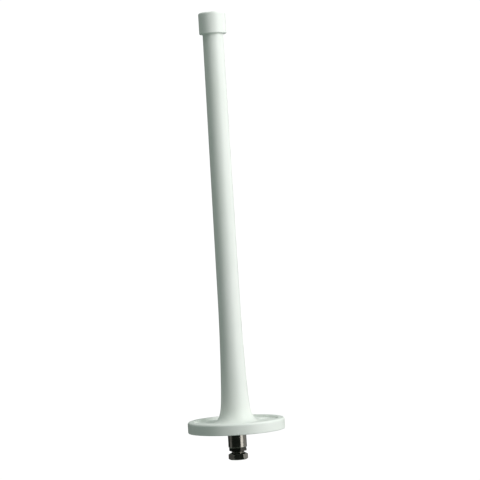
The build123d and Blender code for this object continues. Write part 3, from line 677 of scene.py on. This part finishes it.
def makePlugBody(s):
    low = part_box("plug_body")[0].z / mm
    corner = s["acrossFlats"] / math.sqrt(3)
    threadBottom = low + 0.35
    threadTop = s["collarTop"] - 0.2
    outside = rounded([
        (s["seatRadius"], s["clampBoreTop"]), (s["seatRadius"], s["seatTop"]),
        (s["fingerBore"], s["seatTop"]),
        (s["fingerBore"], s["fingerTip"]), (s["fingerRadius"], s["fingerTip"], 0.15),
        (s["fingerRadius"], s["shoulder"]), (s["radius"], s["shoulder"], 0.3),
        (s["radius"], s["grooveTop"]), (s["grooveRadius"], s["grooveTop"]),
        (s["grooveRadius"], s["grooveBottom"]), (s["radius"], s["grooveBottom"]),
        (s["radius"], s["collarTop"])], guard=0.12)
    bevel = s["collarBevel"]
    outside += run((corner - bevel, s["collarTop"]), (corner, s["collarTop"] - bevel), 4)
    outside += run((corner, low + bevel), (corner - bevel, low), 4)
    outside += [(s["clampBore"] + 0.3, low)]
    turns = (threadTop - threadBottom) / clampPitch
    outside += run((s["clampBore"], threadBottom), (s["clampBore"], threadTop), round(turns * threadRows))
    outside += [(s["clampBore"], s["clampBoreTop"])]
    # the plug body takes the darker copy of the nickel, which is painted shade
    plug = turned("plugBody", outside, nickelPaintedShade, 192)
    withFlats(plug, s["acrossFlats"], low - 0.1, s["collarTop"] + 0.1, 0.12, nickelPaintedShade)
    threaded(plug, s["clampBore"], -clampThreadDepth, clampPitch, threadBottom, threadTop, nickelPaintedShade)
    reach = s["fingerRadius"] + 0.5
    bottom = s["fingerTip"] - s["slotLength"]
    for turn in (0, 90):
        saw = slab("saw", oblong(-reach, reach, s["slotWidth"] / 2), bottom, s["fingerTip"] + 1, nickelPaintedShade)
        combine(plug, spin(saw, turn - s["collarTurn"]), "DIFFERENCE")
    place(finishMesh(spin(plug, s["collarTurn"])), "plug", "dark_nickel", "plug_body")


clampNutSizes = {
    "acrossFlats": 17.5, "turn": 5.3, "headTop": -22.9, "topRadius": 7.6, "topBevel": 1.4,
    "bottomRadius": 8.4, "bottomBevel": 0.95, "bore": 3.35, "shankRadius": 6.45, "softness": 0.22,
}


def makeClampNut(s):
    low, high = (corner.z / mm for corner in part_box("clamp_nut"))
    corner = s["acrossFlats"] / math.sqrt(3)
    threadBottom = s["headTop"] + 0.2
    threadTop = high - 0.3
    turns = (threadTop - threadBottom) / clampPitch
    bore = [(s["bore"], high, 0.2), (s["bore"], low, 0.5), (s["bottomRadius"] - 0.6, low)]
    outside = rounded(bore, guard=0.12)
    outside += run((s["bottomRadius"], low), (corner, low + s["bottomBevel"]), 12)
    outside += run((corner, s["headTop"] - s["topBevel"]), (s["topRadius"], s["headTop"]), 16)
    outside += [(s["topRadius"] - 0.4, s["headTop"]), (s["shankRadius"] - 0.3, s["headTop"])]
    outside += run((s["shankRadius"], threadBottom), (s["shankRadius"], threadTop), round(turns * threadRows))
    outside += [(s["shankRadius"] - 0.3, high)]
    nut = turned("clampNut", outside, nickel, 192, sharpAngle=40)
    withFlats(nut, s["acrossFlats"], low - 0.1, s["headTop"] + 0.05, s["softness"], nickel)
    threaded(nut, s["shankRadius"], clampThreadDepth, clampPitch, threadBottom, threadTop, nickel)
    place(finishMesh(spin(nut, s["turn"]), 40), "clamp_nut", "nickel", "clamp_nut")


screwSizes = {"headRadius": 2.95, "headLow": 0.1, "shankRadius": 1.45, "pitch": 0.5, "threadDepth": 0.28,
              "socketRadius": 1.15, "socketDepth": 1.2, "steps": 48}


def makeScrew(name, s, tip):  # a countersunk M3 screw on the axis, driven from below
    neck = s["headLow"] + s["headRadius"] - s["shankRadius"]
    turns = (tip - 0.4 - neck) / s["pitch"]
    outline = [(0, s["headLow"]), (s["headRadius"] - 0.15, s["headLow"])]
    outline += [(s["headRadius"], s["headLow"] + 0.12)]
    outline += run((s["shankRadius"], neck), (s["shankRadius"], tip - 0.4), round(turns * 8))
    outline += [(s["shankRadius"] - 0.35, tip), (0, tip)]
    screw = turned(name, outline, stainless, s["steps"])
    threaded(screw, s["shankRadius"], s["threadDepth"], s["pitch"], neck, tip - 0.4, stainless)
    corners = [math.radians(60 * k) for k in range(6)]
    hexagon = [(s["socketRadius"] * math.cos(turn), s["socketRadius"] * math.sin(turn)) for turn in corners]
    socket = slab("socket", hexagon, s["headLow"] - 1, s["headLow"] + s["socketDepth"], stainless)
    return finishMesh(combine(screw, socket, "DIFFERENCE"), 25)


smallNutSizes = {"acrossFlats": 5.5, "bore": 1.5, "faceRadius": 2.6, "lead": 0.2, "bevel": 0.35}


def makeScrews():
    jackRadius = jackSizes["holeSpacing"] / math.sqrt(2)
    sets = {  # piece: node, how many, circle, first angle, seed
        "plateScrews": ("plate_screws", 3, radomeSizes["screwCircle"], 90, 11),
        "jackScrews": ("jack_screws", 4, jackRadius, 45, 12)}
    for name, (node, count, radius, firstAngle, seed) in sets.items():
        screws = makeScrew(name, screwSizes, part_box(node)[1].z / mm)
        ringOf(screws, count, radius, firstAngle, stainless, math.radians(60), seed)
        place(finishMesh(screws, 25), "antenna", "steel", node)
    low, high = (corner.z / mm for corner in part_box("jack_nuts"))
    flats, bore, face = smallNutSizes["acrossFlats"], smallNutSizes["bore"], smallNutSizes["faceRadius"]
    lead, bevel = smallNutSizes["lead"], smallNutSizes["bevel"]
    wide = flats / math.sqrt(3)
    shape = [(bore, low + lead), (bore + lead, low), (face - 0.1, low)]
    shape += run((face, low), (wide, low + bevel), 5)
    shape += run((wide, high - bevel), (face, high), 5)
    shape += [(face - 0.1, high), (bore + lead, high), (bore, high - lead)]
    nuts = withFlats(turned("jackNuts", shape, stainless, 72), flats, low - 0.1, high + 0.1, 0.1, stainless)
    ringOf(nuts, 4, jackRadius, 45, stainless, math.radians(60), 13)
    place(finishMesh(nuts), "antenna", "steel", "jack_nuts")


gasketSizes = {"inner": 44.6, "outer": 47.9, "web": 0.45, "lipInset": 0.85, "lipFoot": 0.5, "lipTip": 0.22}
cableSealSizes = {
    "outer": 6.4, "outerLow": 6.45, "groove": (4.9, 4.6, 4.3), "grooveDepth": 0.7,
    "valley": 3.3, "ridge": 3.06, "ribs": 3, "ribFoot": 0.28,
}


def makeDeckGasket(s):
    inner, outer, web, foot, tip = s["inner"], s["outer"], s["web"], s["lipFoot"], s["lipTip"]
    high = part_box("deck_gasket")[1].z / mm
    lips = [(inner, high, 0.2), (inner, web, 0.2)]
    for middle in (inner + s["lipInset"], outer - s["lipInset"]):  # two lips that press on the deck
        lips += [(middle - foot, web), (middle - tip, 0.0, 0.12)]
        lips += [(middle + tip, 0.0, 0.12), (middle + foot, web)]
    lips += [(outer, web, 0.2), (outer, high, 0.2)]
    gasket = turned("deckGasket", rounded(lips, guard=0.08), rubbers["blackRubber"], 160)
    place(gasket, "antenna", "black_rubber", "deck_gasket")


def makeCableSeal(s):
    low, high = (corner.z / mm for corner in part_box("cable_seal"))
    wide, middleRadius, narrow = s["groove"]
    bore = [(s["outer"], high, 0.2), (s["outerLow"], low, 0.2), (wide, low, 0.1)]
    bore += [(middleRadius, low + s["grooveDepth"], 0.1), (narrow, low, 0.1), (s["valley"], low, 0.1)]
    for k in range(s["ribs"]):  # ribs that grip the cable's jacket
        middle = low + (k + 0.5) * (high - low) / s["ribs"]
        bore += [(s["valley"], middle - s["ribFoot"]), (s["ridge"], middle, 0.08)]
        bore += [(s["valley"], middle + s["ribFoot"])]
    bore += [(s["valley"], high, 0.1)]
    seal = turned("cableSeal", rounded(bore, guard=0.08), rubbers["blackRubber"], 96)
    place(seal, "plug", "black_rubber", "cable_seal")


foamSizes = {"lineBore": 3.2, "sag": 0.35, "edge": 1.2, "steps": 8}


def makeFoams(s):  # each disc was punched from sheet, so its faces swell a little between the cut edges
    nodes = ["top_cushion", "centring_disc_1", "centring_disc_2", "centring_disc_3"]
    for node in nodes:
        low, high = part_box(node)
        radius = high.x / mm
        bottom, top = low.z / mm, high.z / mm
        sag, edge, steps = s["sag"], s["edge"], s["steps"]
        bore = 0.0 if node == "top_cushion" else s["lineBore"]
        wide = radius - bore
        crown = [(bore + wide * k / steps, sag * (2 * k / steps - 1) ** 2) for k in range(steps + 1)]
        if bore == 0.0:
            crown = [(radius * k / steps, sag * (k / steps) ** 2) for k in range(steps + 1)]
        outline = [(r, bottom + dip) for r, dip in crown[:-1]]
        outline += [(radius - 0.5 * edge, bottom + sag), (radius - 0.12 * edge, bottom + sag + 0.35 * edge),
                    (radius, bottom + sag + edge), (radius, top - sag - edge),
                    (radius - 0.12 * edge, top - sag - 0.35 * edge), (radius - 0.5 * edge, top - sag)]
        outline += [(r, top - dip) for r, dip in reversed(crown[:-1])]
        name = "topCushion" if bore == 0.0 else "centringDisc" + node[-1]
        piece = turned(name, outline, foam, 72, sharpAngle=60)
        place(piece, "antenna", "foam", node)


makeRadome(radomeSizes)
makeEndCap(capSizes)
makeCouplingNut(couplingNutSizes)
makeJackBody(jackSizes)
makePlugBody(plugSizes)
makeClampNut(clampNutSizes)
makeScrews()
makeDeckGasket(gasketSizes)
makeCableSeal(cableSealSizes)
makeFoams(foamSizes)

# finishes of the pieces that keep their CAD shape; a name stands for every node that starts with it
cadFinishes = {
    "base_plate": metals["facedAluminium"], "plate_gasket": rubbers["greySheetRubber"],
    "jack_gasket": rubbers["greySheetRubber"], "cap_seal": rubbers["blackRubber"],
    "line_core": metals["drawnCopper"], "line_shield": metals["drawnCopper"], "line_dielectric": ptfe,
    "tip_short": metals["drawnBrass"], "choke_sleeve": metals["drawnBrass"],
    "dipole_sleeve": metals["drawnBrass"], "choke_spacer": ptfe, "sleeve_spacer": ptfe,
    "jack_insulator": ptfe, "plug_insulator": ptfe, "jack_contact": metals["goldPlatedBrass"],
    "plug_pin": metals["goldPlatedBrass"], "plug_face_seal": rubbers["redSilicone"],
    "retaining_ring": stainless, "braid_clamp": nickel, "thrust_washer": nickel,
}
for node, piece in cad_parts.items():
    for start, finish in cadFinishes.items():
        if node.startswith(start):
            for materialSlot in piece.material_slots:
                materialSlot.material = finish
print("carried-over nodes painted")

# angles are degrees to the right of the camera's side; distances and heights in metres
softboxes = {
    "keySoftbox": {"from": 36, "to": 70, "distance": 1.5, "low": 0.4, "high": 2.1, "radiance": 5.3},
    "keySkirt": {"from": 42, "to": 76, "distance": 1.5, "low": -0.45, "high": 0.1, "radiance": 2.7},
    "rearPanel": {"from": 80, "to": 140, "distance": 1.5, "low": -0.8, "high": 1.8, "radiance": 0.6},
    "leftPanel": {"from": -110, "to": -75, "distance": 1.5, "low": -0.8, "high": 1.8, "radiance": 0.28},
}
overhead = {"height": 1.7, "size": 1.6, "radiance": 1.1}
room = {"tint": "#E2FAEE", "wall": 0.028, "ceiling": 0.27, "ground": 0.34}


def addLight(name, width, height, radiance):
    lamp = bpy.data.lights.new(name, "AREA")
    lamp.shape = "RECTANGLE"
    lamp.size = width
    lamp.size_y = height
    lamp.energy = radiance * math.pi * width * height
    light = meshObject(name, lamp)
    light.visible_camera = False
    return light


def makeStudio():
    for name, box in softboxes.items():
        angle = math.radians((box["from"] + box["to"]) / 2)
        outward = Vector((math.sin(angle), -math.cos(angle), 0))
        width = 2 * box["distance"] * math.tan(math.radians(box["to"] - box["from"]) / 2)
        light = addLight(name, width, box["high"] - box["low"], box["radiance"])
        light.location = outward * box["distance"] + Vector((0, 0, (box["low"] + box["high"]) / 2))
        light.rotation_euler = outward.to_track_quat("Z", "Y").to_euler()
    light = addLight("overheadPanel", overhead["size"], overhead["size"], overhead["radiance"])
    light.location = (0, 0, overhead["height"])
    world = bpy.data.worlds.new("studio")
    bpy.context.scene.world = world
    world.use_nodes = True
    tree = world.node_tree
    tree.nodes.clear()
    seen = addNode(tree, "ShaderNodeBackground", {"Color": linear("#FFFFFF"), "Strength": 1.05})
    direction = addNode(tree, "ShaderNodeTexCoord").outputs["Generated"]
    rise = addNode(tree, "ShaderNodeSeparateXYZ", {0: direction}).outputs[2]
    above = addNode(tree, "ShaderNodeMapRange", {
        0: rise, 1: 0.1, 2: 0.35, 3: room["wall"], 4: room["ceiling"]})
    below = addNode(tree, "ShaderNodeMapRange", {0: rise, 1: -0.3, 2: -0.55, 3: 0.0, 4: room["ground"]})
    unseen = addNode(tree, "ShaderNodeBackground", {
        "Color": linear(room["tint"]), "Strength": sums(tree, "ADD", above.outputs[0], below.outputs[0])})
    direct = addNode(tree, "ShaderNodeLightPath").outputs["Is Camera Ray"]
    mixed = addNode(tree, "ShaderNodeMixShader", {0: direct, 1: unseen.outputs[0], 2: seen.outputs[0]})
    addNode(tree, "ShaderNodeOutputWorld", {"Surface": mixed.outputs[0]})


floorSizes = {"radius": 620.0, "height": -160.0}


def makeFloor(s):  # a pale sweep under the antenna, open from below so that the underside can be seen
    paper, tree, place = newMaterial("studioPaper")
    matt = addNode(tree, "ShaderNodeBsdfDiffuse", {"Color": linear("#F4F4F2"), "Roughness": 0.5})
    glow = addNode(tree, "ShaderNodeEmission", {"Color": linear("#FFFFFF"), "Strength": 0.55})
    lit = addNode(tree, "ShaderNodeAddShader", {0: matt.outputs[0], 1: glow.outputs[0]})
    clear = addNode(tree, "ShaderNodeBsdfTransparent")
    back = addNode(tree, "ShaderNodeNewGeometry").outputs["Backfacing"]
    sided = addNode(tree, "ShaderNodeMixShader", {0: back, 1: lit.outputs[0], 2: clear.outputs[0]})
    addNode(tree, "ShaderNodeOutputMaterial", {"Surface": sided.outputs[0]})
    work = bmesh.new()
    bmesh.ops.create_circle(work, cap_ends=True, segments=160, radius=s["radius"] * mm,
                            matrix=Matrix.Translation((0, 0, s["height"] * mm)))
    data = bpy.data.meshes.new("floor")
    work.to_mesh(data)
    work.free()
    data.materials.append(paper)
    floor = meshObject("floor", data)
    floor.visible_diffuse = False
    floor.visible_glossy = False
    floor.visible_shadow = False


cameraSizes = {"distance": 1.92, "right": 0.0151, "drop": 0.005, "lens": 140.0, "leanDegrees": 3.45}


def makeCamera(s):  # level, a little to the right, and tipped so that the mast leans left in the frame
    low, high = cadBox
    lens = bpy.data.cameras.new("camera")
    lens.lens = s["lens"]
    lens.sensor_width = 36
    camera = meshObject("camera", lens)
    facing = Matrix.Rotation(math.radians(90), 4, "X")
    lean = Matrix.Rotation(math.radians(s["leanDegrees"]), 4, "Y")
    spot = Matrix.Translation((s["right"], -s["distance"], (low[2] + high[2]) / 2 - s["drop"]))
    camera.matrix_world = spot @ lean @ facing
    bpy.context.scene.camera = camera


makeStudio()
makeFloor(floorSizes)
makeCamera(cameraSizes)
bpy.context.scene.view_settings.view_transform = "Standard"
print("studio ready")
